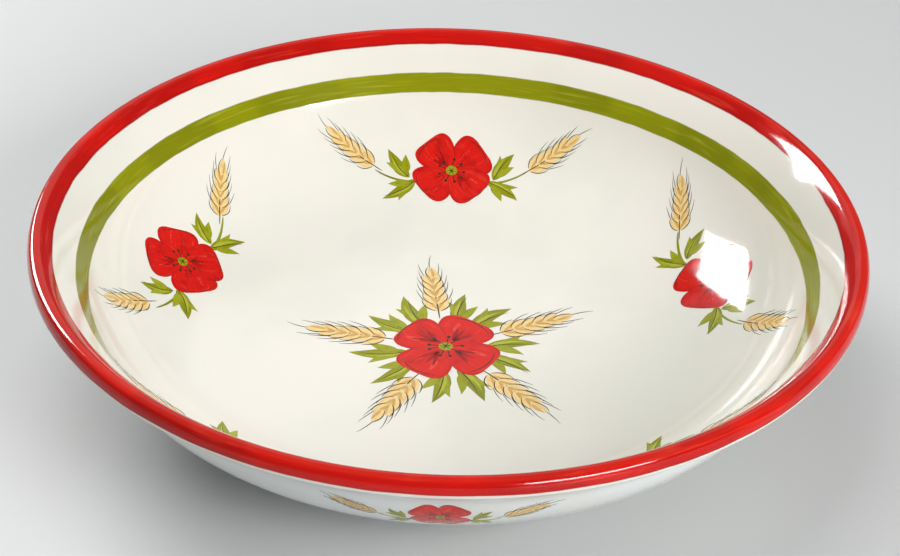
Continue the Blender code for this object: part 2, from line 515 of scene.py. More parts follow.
class GeometryTree:
    """A Geometry Nodes tree with named inputs, which a modifier sets by their identifiers."""

    MERGE_DISTANCE = 2e-6
    SHARP_ANGLE = math.radians(35.0)

    def __init__(self, name: str, inputs: dict[str, tuple[str, object]]) -> None:
        """Make the tree and its inputs.

        Args:
            name: The tree's name.
            inputs: Each input's socket type and the value that it starts with.
        """
        self.tree = bpy.data.node_groups.new(name, "GeometryNodeTree")
        self.graph = Graph(self.tree)
        self.identifiers = {}
        interface = self.tree.interface
        interface.new_socket("Geometry", in_out="INPUT", socket_type="NodeSocketGeometry")
        interface.new_socket("Geometry", in_out="OUTPUT", socket_type="NodeSocketGeometry")
        for label, (kind, value) in inputs.items():
            socket = interface.new_socket(label, in_out="INPUT", socket_type=kind)
            self.identifiers[label] = socket.identifier
            if value is not None:
                socket.default_value = value
        self.source = self.tree.nodes.new("NodeGroupInput")
        self.sink = self.tree.nodes.new("NodeGroupOutput")

    def given(self, label: str) -> Wire:
        """One of the tree's inputs as a wire."""
        return Wire(self.graph, self.source.outputs[label])

    def close(self, geometry: Wire) -> None:
        """End the tree: merge what meets, realize instances and set the material.

        Args:
            geometry: The shape that the tree has made.
        """
        graph = self.graph
        touching = {"Geometry": geometry, "Distance": self.MERGE_DISTANCE}
        merged = graph.wire("GeometryNodeMergeByDistance", {}, touching)
        real = graph.wire("GeometryNodeRealizeInstances", {}, {"Geometry": merged})
        paint = {"Geometry": real, "Material": self.given("Material")}
        graph.feed(self.sink.inputs["Geometry"], graph.wire("GeometryNodeSetMaterial", {}, paint))

    def make(self, name: str, guide: bpy.types.Mesh, **values: object) -> bpy.types.Object:
        """Run the tree on a guide mesh and keep the result as a plain piece.

        Args:
            name: The piece's name.
            guide: Points that the tree starts from.
            **values: Values for the tree's inputs, with spaces in their names as underscores.

        Returns:
            The finished piece, linked to the scene, at the origin and without modifiers.
        """
        piece = bpy.data.objects.new(name, guide)
        modifier = piece.modifiers.new("made", "NODES")
        modifier.node_group = self.tree
        for label, value in values.items():
            modifier[self.identifiers[label.replace("_", " ")]] = value
        bpy.context.scene.collection.objects.link(piece)
        evaluated = piece.evaluated_get(bpy.context.evaluated_depsgraph_get())
        mesh = bpy.data.meshes.new_from_object(evaluated)
        mesh.name = name
        piece.modifiers.clear()
        piece.data = mesh
        bpy.data.meshes.remove(guide)
        mesh.shade_smooth()
        mesh.set_sharp_from_angle(angle=self.SHARP_ANGLE)
        return piece


class TurningTree(GeometryTree):
    """Turns an outline of points about the bowl's axis into a closed shell."""

    def __init__(self, unevenness: Unevenness) -> None:
        """Build the tree's nodes.

        Args:
            unevenness: How the turned shell is bent.
        """
        super().__init__(
            "turned_outline",
            {
                "Segments": ("NodeSocketInt", 360),
                "Closed": ("NodeSocketInt", 1),
                "Material": ("NodeSocketMaterial", None),
            },
        )
        graph = self.graph
        outline = self.given("Geometry")
        count = graph.wire(
            "GeometryNodeAttributeDomainSize", {"component": "MESH"}, {"Geometry": outline}
        )
        columns = count + self.given("Closed")
        rows = self.given("Segments") + 1
        grid = graph.wire("GeometryNodeMeshGrid", {}, {"Vertices X": columns, "Vertices Y": rows})
        index = graph.wire("GeometryNodeInputIndex", {}, {})
        column = graph.math("FLOOR", (index + 0.5) / rows)
        angle = (index - column * rows) * (2 * math.pi / self.given("Segments"))
        position = graph.wire("GeometryNodeInputPosition", {}, {})
        traced = graph.wire(
            "GeometryNodeSampleIndex",
            {"data_type": "FLOAT_VECTOR", "domain": "POINT"},
            {"Geometry": outline, "Value": position, "Index": column % count},
        )
        place = unevenness.apply(graph, traced.axis(0), angle, traced.axis(2))
        self.close(graph.wire("GeometryNodeSetPosition", {}, {"Geometry": grid, "Position": place}))

    def turn(
        self, name: str, outline: np.ndarray, material: bpy.types.Material, segments: int
    ) -> bpy.types.Object:
        """Turn one outline.

        Args:
            name: The piece's name.
            outline: Rows of radius and level, which run with the piece's outside on their left.
            material: The piece's material.
            segments: How many steps make the full turn.

        Returns:
            The finished piece.
        """
        guide = bpy.data.meshes.new(name + "_outline")
        guide.from_pydata([(float(radius), 0.0, float(level)) for radius, level in outline], [], [])
        closed = 0 if outline[0][0] == 0.0 else 1
        return self.make(name, guide, Segments=segments, Closed=closed, Material=material)


class Brush(Enum):
    """What a brush stroke paints, with its steps along and across."""

    PETAL = ("petals", 16, 10)
    LEAF = ("leaves", 16, 5)
    GRAIN = ("grains", 12, 5)
    LINE = ("fine_lines", 12, 3)

    def __init__(self, label: str, along: int, across: int) -> None:
        """Keep the stroke's steps.

        Args:
            label: Name of the pieces that the brush paints.
            along: Steps along the stroke.
            across: Steps across the stroke.
        """
        self.label = label
        self.along = along
        self.across = across


@dataclass(frozen=True)
class Stroke:
    """One brush stroke on the flat layout, from its root to its tip."""

    x: float
    y: float
    turn: float
    length: float
    width: float
    bow: float
    root: float
    tip: float
    tone: float
    lift: float


class StrokeTree(GeometryTree):
    """Lays thin closed pads of paint, one for each stroke, and wraps them onto the bowl's skin."""

    FIELDS = ("turn", "length", "width", "bow", "root", "tip", "tone", "lift")

    def __init__(self, unevenness: Unevenness) -> None:
        """Build the tree's nodes.

        Args:
            unevenness: How the turned coats under the strokes are bent.
        """
        super().__init__(
            "brush_strokes",
            {
                "Skin": ("NodeSocketObject", None),
                "Steps Along": ("NodeSocketInt", 12),
                "Steps Across": ("NodeSocketInt", 4),
                "Strip": ("NodeSocketFloat", 0.0),
                "Strip Radius": ("NodeSocketFloat", 0.15),
                "Strip Start": ("NodeSocketFloat", 0.0),
                "Raise": ("NodeSocketFloat", 0.00004),
                "Sink": ("NodeSocketFloat", 0.0001),
                "Waver": ("NodeSocketFloat", 0.0006),
                "Waver Scale": ("NodeSocketFloat", 140.0),
                "Material": ("NodeSocketMaterial", None),
            },
        )
        graph = self.graph
        pads = self._pads()
        stroke = {name: self._named(name) for name in (*self.FIELDS, "along", "across", "side")}
        flat = self._lay_flat(stroke)
        place = self._wrap(flat, stroke, unevenness)
        self.close(graph.wire("GeometryNodeSetPosition", {}, {"Geometry": pads, "Position": place}))

    def _named(self, name: str, kind: str = "FLOAT") -> Wire:
        """Read a named attribute."""
        return self.graph.wire("GeometryNodeInputNamedAttribute", {"data_type": kind}, {"Name": name})

    def _store(self, geometry: Wire, name: str, value: Wire, kind: str = "FLOAT") -> Wire:
        """Write a named attribute on the points.

        Args:
            geometry: What takes the attribute.
            name: The attribute's name.
            value: The attribute's value.
            kind: The attribute's data type.

        Returns:
            The geometry with the attribute.
        """
        settings = {"data_type": kind, "domain": "POINT"}
        sockets = {"Geometry": geometry, "Name": name, "Value": value}
        return self.graph.wire("GeometryNodeStoreNamedAttribute", settings, sockets)

    def _pads(self) -> Wire:
        """Stand one closed pad of unit size on each stroke's point, with finer steps at its root and tip.

        Returns:
            The pads, with their places along, across and through the paint stored on their points.
        """
        graph = self.graph
        sockets = {"Vertices X": self.given("Steps Along"), "Vertices Y": self.given("Steps Across")}
        pad = graph.wire("GeometryNodeMeshCube", {}, sockets)
        position = graph.wire("GeometryNodeInputPosition", {}, {})
        pad = self._store(pad, "along", 0.5 + 0.5 * graph.math("SINE", math.pi * position.axis(0)))
        pad = self._store(pad, "across", position.axis(1))
        pad = self._store(pad, "side", position.axis(2) + 0.5)
        points = self._store(self.given("Geometry"), "start", position, "FLOAT_VECTOR")
        placed = graph.wire("GeometryNodeInstanceOnPoints", {}, {"Points": points, "Instance": pad})
        return graph.wire("GeometryNodeRealizeInstances", {}, {"Geometry": placed})

    def _lay_flat(self, stroke: dict[str, Wire]) -> Wire:
        """Shape the pads into tapered, bowed strokes on the flat layout.

        Args:
            stroke: The strokes' attributes.

        Returns:
            The place of each point on the layout.
        """
        graph = self.graph
        along = stroke["along"]
        taper = along ** stroke["root"] * (1 - along) ** stroke["tip"]
        forward = stroke["length"] * along
        aside = stroke["width"] * stroke["across"] * taper
        aside = aside + stroke["length"] * stroke["bow"] * 4 * along * (1 - along)
        cosine = graph.math("COSINE", stroke["turn"])
        sine = graph.math("SINE", stroke["turn"])
        start = self._named("start", "FLOAT_VECTOR")
        x = start.axis(0) + forward * cosine - aside * sine
        y = start.axis(1) + forward * sine + aside * cosine
        straight = graph.combine(x, y, 0.0)
        shaky = graph.noise(straight, self.given("Waver Scale"), detail=1.0, output=1)
        waver = self.given("Waver")
        x = x + (shaky.axis(0) - 0.5) * waver
        y = y + (shaky.axis(1) - 0.5) * waver
        return graph.combine(x, y, 0.0)

    def _wrap(self, flat: Wire, stroke: dict[str, Wire], unevenness: Unevenness) -> Wire:
        """Wrap the layout onto the skin, as a disc inside the bowl or as a strip round the outside.

        Args:
            flat: Places on the layout.
            stroke: The strokes' attributes.
            unevenness: How the turned coats are bent.

        Returns:
            The place of each point in space.
        """
        graph = self.graph
        x = flat.axis(0)
        y = flat.axis(1)
        strip = self.given("Strip")
        from_middle = graph.math("SQRT", x * x + y * y)
        distance = graph.between(strip, from_middle, self.given("Strip Start") - y)
        angle = graph.between(strip, graph.math("ARCTAN2", y, x), x / self.given("Strip Radius"))
        curve = graph.wire("GeometryNodeObjectInfo", {}, {"Object": self.given("Skin")}, "Geometry")
        sample = graph.node(
            "GeometryNodeSampleCurve",
            {"mode": "LENGTH", "use_all_curves": False},
            {"Curves": curve, "Length": distance},
        )
        skin = Wire(graph, sample.outputs["Position"])
        along_skin = Wire(graph, sample.outputs["Tangent"])
        thickness = self.given("Raise") + stroke["lift"] + self.given("Sink")
        proud = stroke["side"] * thickness - self.given("Sink")
        radius = skin.axis(0) - along_skin.axis(2) * proud
        level = skin.axis(2) + along_skin.axis(0) * proud
        return unevenness.apply(graph, radius, angle, level)

    def paint(
        self,
        name: str,
        strokes: list[Stroke],
        brush: Brush,
        skin: bpy.types.Object,
        material: bpy.types.Material,
        **layout: float,
    ) -> bpy.types.Object:
        """Paint a list of strokes as one piece.

        Args:
            name: The piece's name.
            strokes: The strokes, on the flat layout.
            brush: What they paint.
            skin: The curve that they are wrapped onto.
            material: The paint.
            **layout: Values for the tree's strip inputs.

        Returns:
            The finished piece.
        """
        guide = bpy.data.meshes.new(name + "_points")
        guide.from_pydata([(s.x, s.y, 0.0) for s in strokes], [], [])
        for label in self.FIELDS:
            attribute = guide.attributes.new(label, "FLOAT", "POINT")
            attribute.data.foreach_set("value", [getattr(s, label) for s in strokes])
        return self.make(
            name,
            guide,
            Skin=skin,
            Steps_Along=brush.along,
            Steps_Across=brush.across,
            Material=material,
            **layout,
        )


@dataclass(frozen=True)
class Paint:
    """One paint: its own colour, where it lies thick, and where it lies thin."""

    own: Colour
    thick: Colour
    thin: Colour


@dataclass(frozen=True)
class Palette:
    """Fired colours of the bowl."""

    cream: Colour = fired(234, 231, 221)
    cream_cool: Colour = fired(226, 226, 214)
    pale: Colour = fired(228, 232, 232)
    pale_thin: Colour = fired(236, 222, 206)
    clay: Colour = fired(214, 194, 164)
    clay_toasted: Colour = fired(176, 134, 92)
    red: Paint = Paint(fired(212, 21, 10), fired(146, 8, 8), fired(230, 70, 50))
    green: Paint = Paint(fired(146, 150, 10), fired(104, 107, 6), fired(176, 180, 54))
    straw: Paint = Paint(fired(236, 206, 140), fired(204, 158, 84), fired(246, 228, 184))
    ink: Paint = Paint(fired(52, 40, 24), fired(52, 40, 24), fired(112, 88, 52))


class Finish:
    """A material that starts from one Principled shader."""

    def __init__(self, name: str, roughness: float, specular: float = 0.5) -> None:
        """Make the material and set what is the same all over it.

        Args:
            name: The material's name.
            roughness: Roughness of the surface.
            specular: Strength of the surface's reflection.
        """
        self.material = bpy.data.materials.new(name)
        self.material.use_nodes = True
        self.graph = Graph(self.material.node_tree)
        self.shader = self.material.node_tree.nodes["Principled BSDF"]
        self.shader.inputs["Roughness"].default_value = roughness
        self.shader.inputs["Specular IOR Level"].default_value = specular
        self.place = self.graph.wire("ShaderNodeTexCoord", {}, {}, "Object")

    def set(self, socket: str, value: Wire) -> None:
        """Feed one of the shader's inputs."""
        self.graph.feed(self.shader.inputs[socket], value)

    def ripple(self, height: Wire, strength: float, distance: float) -> None:
        """Raise the surface by a height through a Bump node."""
        sockets = {"Strength": strength, "Distance": distance, "Height": height}
        self.set("Normal", self.graph.wire("ShaderNodeBump", {}, sockets, "Normal"))


@dataclass(frozen=True)
class Veil:
    """How a second colour lies over a first, as some value climbs from low to high."""

    low: float
    high: float
    share: float

    def rising(self, value: Wire) -> Wire:
        """Share of the second colour, which comes in as the value climbs."""
        return value.ease(self.low, self.high) * self.share

    def falling(self, value: Wire) -> Wire:
        """Share of the second colour, which goes out as the value climbs."""
        return (1 - value.ease(self.low, self.high)) * self.share


@dataclass(frozen=True)
class Gloss:
    """Gloss of fired glaze, a little uneven, over a surface with ripples and finer pits."""

    roughness: float
    specular: float = 0.5
    dullness: float = 0.06
    dull_patches: float = 70.0
    ripples: float = 45.0
    pits: float = 320.0
    pit_share: float = 0.25
    bump: float = 0.5
    ripple_height: float = 0.12 * MM

    def start(self, name: str) -> Finish:
        """Make a glossy material that has no colour yet.

        Args:
            name: The material's name.

        Returns:
            The finish.
        """
        finish = Finish(name, self.roughness, self.specular)
        graph = finish.graph
        place = finish.place
        dull = graph.noise(place, self.dull_patches, detail=3.0)
        finish.set("Roughness", self.roughness + self.dullness * dull)
        pits = graph.noise(place, self.pits, detail=1.0)
        peel = graph.noise(place, self.ripples) + self.pit_share * pits
        finish.ripple(peel, self.bump, self.ripple_height)
        return finish


class Side(Enum):
    """Which side of the wall a coat lies on."""

    INSIDE = 1
    LIP = 2
    OUTSIDE = 3


@dataclass(frozen=True)
class PaintedGlaze:
    """Glaze over brushed bands. All the coats share it, so the paint runs on from coat to coat.

    Noise that goes round the bowl is read on a circle of radius one, and its scale counts patches there.
    Other scales count them to a metre.
    """

    skin: BowlSkin
    palette: Palette
    edge_softness: float = 0.25 * MM
    edge_wander: float = 0.9 * MM
    wanders_round: float = 9.0
    streaks_round: float = 5.0
    streaks_up: float = 700.0
    overlaps_round: float = 2.3
    clouds: float = 16.0
    cool_cream: Veil = Veil(0.40, 0.68, 0.70)
    cool_pale: Veil = Veil(0.40, 0.68, 0.50)
    warm_line: Veil = Veil(-1.6 * MM, -0.5 * MM, 0.80)
    thick_overlap: Veil = Veil(0.47, 0.53, 0.35)
    thick_streak: Veil = Veil(0.30, 0.50, 0.30)
    thin_streak: Veil = Veil(0.54, 0.74, 0.45)
    thick_edge: Veil = Veil(0.2 * MM, 1.0 * MM, 0.75)
    # Lighter red on the lip's crest: partly thinner paint where the glaze breaks on the edge, partly a
    # painted sheen on the top.
    crest_thin_paint_and_sheen: Veil = Veil(-0.9 * MM, -0.2 * MM, 0.15)

    def build(self, name: str, side: Side, gloss: Gloss) -> bpy.types.Material:
        """Make the material of one coat.

        Args:
            name: The material's name.
            side: Which side of the wall the coat lies on.
            gloss: The coat's gloss.

        Returns:
            The material.
        """
        finish = gloss.start(name)
        graph = finish.graph
        x, y, z = (finish.place.axis(index) for index in range(3))
        radius = graph.math("SQRT", x * x + y * y)
        round_x = x / radius
        round_y = y / radius
        circle = graph.combine(round_x, round_y, 0.0)
        brushed = graph.combine(
            round_x * self.streaks_round, round_y * self.streaks_round, z * self.streaks_up
        )
        streaks = graph.noise(brushed, 1.0, detail=3.0)
        overlap = graph.noise(circle, self.overlaps_round, detail=1.0)
        level = z + (graph.noise(circle, self.wanders_round) - 0.5) * self.edge_wander

        painted = self._ground(finish, side, radius, level)
        if side is Side.INSIDE:
            stripe = self._above(level, self.skin.stripe_bottom) - self._above(level, self.skin.stripe_top)
            green = self._banded(graph, self.palette.green, streaks, overlap)
            painted = graph.colour(stripe, painted, green)

        band, thick, thin = self._rim(graph, side, radius, level, z)
        red = self._banded(graph, self.palette.red, streaks, overlap)
        red = graph.colour(thick, red, self.palette.red.thick)
        # Lighter red on the crest: thin paint, and a painted sheen of light on top of the lip.
        red = graph.colour(thin, red, self.palette.red.thin)
        finish.set("Base Color", graph.colour(band, painted, red))
        return finish.material

    def _above(self, level: Wire, station: float) -> Wire:
        """Soft step where the skin climbs past a distance along it."""
        edge = self.skin.at(station)[1]
        return level.ease(edge - self.edge_softness, edge + self.edge_softness)

    def _within(self, side: Side, radius: Wire) -> Wire | float:
        """Tell the inside of the lip's crest from its outside.

        Args:
            side: Which side of the wall the coat lies on.
            radius: Distance of the point from the axis.

        Returns:
            One inside, and zero outside.
        """
        if side is Side.LIP:
            return radius.below(float(self.skin.points[self.skin.crest, 0]))
        return 1.0 if side is Side.INSIDE else 0.0

    def _ground(self, finish: Finish, side: Side, radius: Wire, level: Wire) -> Wire:
        """Colour of the glaze itself: cream inside, and paler outside with a thin warm line under the rim.

        Args:
            finish: The material.
            side: Which side of the wall the coat lies on.
            radius: Distance of the point from the axis.
            level: Level of the point, with the brush's wander.

        Returns:
            The colour.
        """
        graph = finish.graph
        palette = self.palette
        cloud = graph.noise(finish.place, self.clouds, detail=3.0)
        cream = graph.colour(self.cool_cream.rising(cloud), palette.cream, palette.cream_cool)
        pale = graph.colour(self.cool_pale.rising(cloud), palette.pale, palette.cream_cool)
        rim = self.skin.at(self.skin.rim_outside)[1]
        pale = graph.colour(self.warm_line.rising(level - rim), pale, palette.pale_thin)
        return graph.colour(self._within(side, radius), pale, cream)

    def _rim(
        self, graph: Graph, side: Side, radius: Wire, level: Wire, z: Wire
    ) -> tuple[Wire, Wire, Wire]:
        """Where the red rim band lies.

        Args:
            graph: The material's graph.
            side: Which side of the wall the coat lies on.
            radius: Distance of the point from the axis.
            level: Level of the point, with the brush's wander.
            z: True level of the point.

        Returns:
            The band's mask, the share of thick paint at its edges, and that of lighter red on the crest,
            which is partly thin paint and partly a painted sheen of light on top of the lip.
        """
        low_inside = self.skin.at(self.skin.rim_inside)[1]
        low_outside = self.skin.at(self.skin.rim_outside)[1]
        over_edge = level - graph.between(self._within(side, radius), low_outside, low_inside)
        band = over_edge.ease(-self.edge_softness, self.edge_softness)
        return band, self.thick_edge.falling(over_edge), self.crest_thin_paint_and_sheen.rising(z - self.skin.height)

    def _banded(self, graph: Graph, paint: Paint, streaks: Wire, overlap: Wire) -> Wire:
        """Colour of a brushed band.

        Args:
            graph: The material's graph.
            paint: The band's paint.
            streaks: Fine streaks that the brush's hairs leave.
            overlap: High where the brush went round twice.

        Returns:
            The colour.
        """
        colour = graph.colour(self.thick_overlap.rising(overlap), paint.own, paint.thick)
        colour = graph.colour(self.thick_streak.rising(streaks), colour, paint.thick)
        return graph.colour(self.thin_streak.rising(streaks), colour, paint.thin)


@dataclass(frozen=True)
class StrokePaint:
    """Paint of a brush stroke, streaked along it, with pools of thick paint and thick edges."""

    name: str
    paint: Paint
    gloss: Gloss = Gloss(0.05)
    hairs_along: float = 2.5
    hairs_across: float = 16.0
    hairs_apart: float = 41.0
    pools: float = 3.0
    pools_apart: float = 97.0
    thin_tone: Veil = Veil(0.5, 1.0, 1.0)
    thick_tone: Veil = Veil(0.0, 0.5, 1.0)
    thin_hair: Veil = Veil(0.52, 0.75, 0.5)
    thick_pool: Veil = Veil(0.50, 0.75, 0.5)
    thick_edge: Veil = Veil(0.38, 0.50, 0.35)

    def build(self) -> bpy.types.Material:
        """Make the material.

        Returns:
            The material.
        """
        finish = self.gloss.start(self.name)
        graph = finish.graph
        along, across, tone = (self._stroke(graph, label) for label in ("along", "across", "tone"))
        combed = graph.combine(
            along * self.hairs_along, across * self.hairs_across, tone * self.hairs_apart
        )
        hairs = graph.noise(combed, 1.0, detail=3.0)
        pooled = graph.combine(along * self.pools, across * self.pools, tone * self.pools_apart)
        pool = graph.noise(pooled, 1.0)
        paint = self.paint
        colour = graph.colour(self.thin_tone.rising(tone), paint.own, paint.thin)
        colour = graph.colour(self.thick_tone.falling(tone), colour, paint.thick)
        colour = graph.colour(self.thin_hair.rising(hairs), colour, paint.thin)
        colour = graph.colour(self.thick_pool.rising(pool), colour, paint.thick)
        colour = graph.colour(self.thick_edge.rising(abs(across)), colour, paint.thick)
        finish.set("Base Color", colour)
        return finish.material

    @staticmethod
    def _stroke(graph: Graph, label: str) -> Wire:
        """Read one of the strokes' attributes."""
        return graph.wire("ShaderNodeAttribute", {"attribute_name": label}, {}, "Fac")


@dataclass(frozen=True)
class FootFinish:
    """Glazed sides over a wiped standing edge of bare clay."""

    palette: Palette
    wipe_level: float = 1.7 * MM
    wipe_softness: float = 0.1 * MM
    wipe_wander: float = 1.2 * MM
    wipe_wanders: float = 60.0
    toasted_line: Veil = Veil(0.1 * MM, 0.8 * MM, 0.6)
    toasted_grain: Veil = Veil(0.35, 0.75, 0.5)
    grains: float = 900.0
    grain_height: float = 0.15 * MM
    bump: float = 0.6
    bare_roughness: float = 0.78
    glazed_roughness: float = 0.12

    def build(self, name: str) -> bpy.types.Material:
        """Make the material.

        Args:
            name: The material's name.

        Returns:
            The material.
        """
        finish = Finish(name, self.bare_roughness)
        graph = finish.graph
        palette = self.palette
        wander = (graph.noise(finish.place, self.wipe_wanders) - 0.5) * self.wipe_wander
        over_wipe = finish.place.axis(2) + wander - self.wipe_level
        glazed = over_wipe.ease(-self.wipe_softness, self.wipe_softness)
        grain = graph.noise(finish.place, self.grains, detail=3.0)
        clay = graph.colour(self.toasted_grain.rising(grain), palette.clay, palette.clay_toasted)
        clay = graph.colour(self.toasted_line.falling(abs(over_wipe)), clay, palette.clay_toasted)
        finish.set("Base Color", graph.colour(glazed, clay, palette.pale))
        finish.set("Roughness", graph.between(glazed, self.bare_roughness, self.glazed_roughness))
        finish.ripple(grain * (1 - glazed), self.bump, self.grain_height)
        return finish.material


@dataclass(frozen=True)
class ClayFinish:
    """Fired clay, as it shows where the bowl is broken or cut."""

    palette: Palette
    grains: float = 700.0
    grain_height: float = 0.2 * MM
    bump: float = 0.5
    toasted_grain: Veil = Veil(0.3, 0.8, 0.6)
    roughness: float = 0.7
    grain_roughness: float = 0.2

    def build(self, name: str) -> bpy.types.Material:
        """Make the material.

        Args:
            name: The material's name.

        Returns:
            The material.
        """
        finish = Finish(name, self.roughness)
        graph = finish.graph
        grain = graph.noise(finish.place, self.grains, detail=4.0)
        toasted = self.toasted_grain.rising(grain)
        finish.set("Base Color", graph.colour(toasted, self.palette.clay, self.palette.clay_toasted))
        finish.set("Roughness", self.roughness + self.grain_roughness * grain)
        finish.ripple(grain, self.bump, self.grain_height)
        return finish.material


def ride(piece: bpy.types.Object, node: str | None = None) -> None:
    """Put a finished piece on the bowl and report it.

    Args:
        piece: The finished piece.
        node: The solid that the piece stands for, if it stands for one.
    """
    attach(piece, BODY)
    if node is not None:
        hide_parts(node)
    LOG.info("%s: %d faces", piece.name, len(piece.data.polygons))


@dataclass
class TurnedBowl:
    """The clay and its five coats of glaze."""

    skin: BowlSkin
    palette: Palette
    lathe: TurningTree
    segments: int = 360
    floor_step: float = 0.006
    wall_step: float = 0.0016
    lip_step: float = 0.0004
    lip_underside: float = 0.005
    cream_gloss: Gloss = Gloss(0.05)
    band_gloss: Gloss = Gloss(0.06, specular=0.33)
    outside_gloss: Gloss = Gloss(0.06)

    def build(self) -> None:
        """Turn the clay and the coats, and dress them."""
        glaze = PaintedGlaze(self.skin, self.palette)
        stations = self._stations()
        coats = {
            "well_glaze": ("cream_glaze", Side.INSIDE, self.cream_gloss),
            "green_stripe": ("green_stripe", Side.INSIDE, self.band_gloss),
            "border_glaze": ("cream_glaze", Side.INSIDE, self.cream_gloss),
            "rim_band": ("red_rim", Side.LIP, self.band_gloss),
            "outside_glaze": ("pale_glaze", Side.OUTSIDE, self.outside_gloss),
        }
        for node, (slot, side, gloss) in coats.items():
            finish = glaze.build(node + "_finish", side, gloss)
            outline = self.skin.coat(stations[node])
            ride(self.lathe.turn(node + "_coat", outline, finish, self.segments), node)
        clay = ClayFinish(self.palette).build("clay_body_finish")
        core = self.lathe.turn("clay_core", self._clay(stations), clay, self.segments)
        ride(core, "clay_body")

    @staticmethod
    def _spread(start: float, end: float, step: float) -> np.ndarray:
        """Evenly spread distances from start to end, about a step apart."""
        return np.linspace(start, end, max(2, round((end - start) / step) + 1))

    def _stations(self) -> dict[str, np.ndarray]:
        """Choose where the rings of each coat lie. Each coat ends where its neighbour starts.

        Returns:
            Distances along the skin, by the coat's node.
        """
        skin = self.skin
        floor = self._spread(0.0, skin.floor_radius, self.floor_step)
        wall = self._spread(skin.floor_radius, skin.stripe_bottom, self.wall_step)
        below_lip = skin.rim_outside + self.lip_underside
        lip = self._spread(skin.rim_outside, below_lip, self.lip_step)
        outer_wall = self._spread(below_lip, skin.length, self.wall_step)
        return {
            "well_glaze": np.concatenate((floor[:-1], wall)),
            "green_stripe": self._spread(skin.stripe_bottom, skin.stripe_top, self.wall_step),
            "border_glaze": self._spread(skin.stripe_top, skin.rim_inside, self.wall_step),
            "rim_band": self._spread(skin.rim_inside, skin.rim_outside, self.lip_step),
            "outside_glaze": np.concatenate((lip[:-1], outer_wall)),
        }

    def _clay(self, stations: dict[str, np.ndarray]) -> np.ndarray:
        """Set the skin back by one coat and a clearance, and close it flat underneath.

        Args:
            stations: Distances along the skin, by the coat's node.

        Returns:
            Outline of the clay.
        """
        skin = self.skin
        rings = np.unique(np.concatenate(list(stations.values())))
        surface = skin.set_back(rings, skin.glaze_thickness + skin.clearance)
        bottom = skin.ring_top + skin.clearance
        return np.vstack((surface, ((skin.foot_radius, bottom), (0.0, bottom))))


@dataclass
class Foot:
    """The foot ring and the glaze under the floor."""

    skin: BowlSkin
    palette: Palette
    lathe: TurningTree
    width: float = 0.008
    rounding: float = 0.0015
    rounding_steps: int = 8
    segments: int = 240
    base_gloss: Gloss = Gloss(0.08)

    def build(self) -> None:
        """Turn the ring and the base glaze, and dress them."""
        ring_finish = FootFinish(self.palette).build("foot_finish")
        ring = self.lathe.turn("foot_ring_turned", self._ring(), ring_finish, self.segments)
        ride(ring, "foot_ring")
        glaze = PaintedGlaze(self.skin, self.palette)
        base_finish = glaze.build("base_glaze_finish", Side.OUTSIDE, self.base_gloss)
        base = self.lathe.turn("base_glaze_disc", self._base(), base_finish, self.segments)
        ride(base, "base_glaze")

    def _corner(self, radius: float, first: float) -> np.ndarray:
        """Round one edge of the foot by a quarter turn.

        Args:
            radius: Distance of the rounding's middle from the axis.
            first: Angle of the first point.

        Returns:
            The points, which turn clockwise.
        """
        turns = np.linspace(first, first - math.pi / 2, self.rounding_steps + 1)
        rounded = self.rounding * np.column_stack((np.cos(turns), np.sin(turns)))
        return np.array([radius, self.rounding]) + rounded

    def _ring(self) -> np.ndarray:
        """Draw the foot ring, which is flat on its standing edge.

        Returns:
            Closed outline of the ring.
        """
        outer = self.skin.foot_radius
        inner = outer - self.width
        top = self.skin.ring_top
        return np.vstack((
            ((inner, top), (outer, top)),
            self._corner(outer - self.rounding, 0.0),
            self._corner(inner + self.rounding, -math.pi / 2),
        ))

    def _base(self) -> np.ndarray:
        """Draw the glaze under the floor.

        Returns:
            Outline of the glaze, from the axis and back to it.
        """
        edge = self.skin.foot_radius - self.width - self.skin.clearance
        top = self.skin.ring_top
        bottom = self.skin.foot_height
        return np.array([(0.0, top), (edge, top), (edge, bottom), (0.0, bottom)])


@dataclass(frozen=True)
class Spot:
    """A place, a direction and a scale on the flat layout."""

    x: float
    y: float
    turn: float
    scale: float = 1.0

    def spot(self, ahead: float, aside: float = 0.0, degrees: float = 0.0) -> "Spot":
        """Find another spot from this one.

        Args:
            ahead: How far it lies ahead, in millimetres before they are scaled.
            aside: How far it lies to the left, in millimetres before they are scaled.
            degrees: How far it is turned to the left.

        Returns:
            The other spot, of the same scale.
        """
        x = ahead * MM
        y = aside * MM
        cosine = math.cos(self.turn) * self.scale
        sine = math.sin(self.turn) * self.scale
        return Spot(
            self.x + x * cosine - y * sine,
            self.y + x * sine + y * cosine,
            self.turn + math.radians(degrees),
            self.scale,
        )


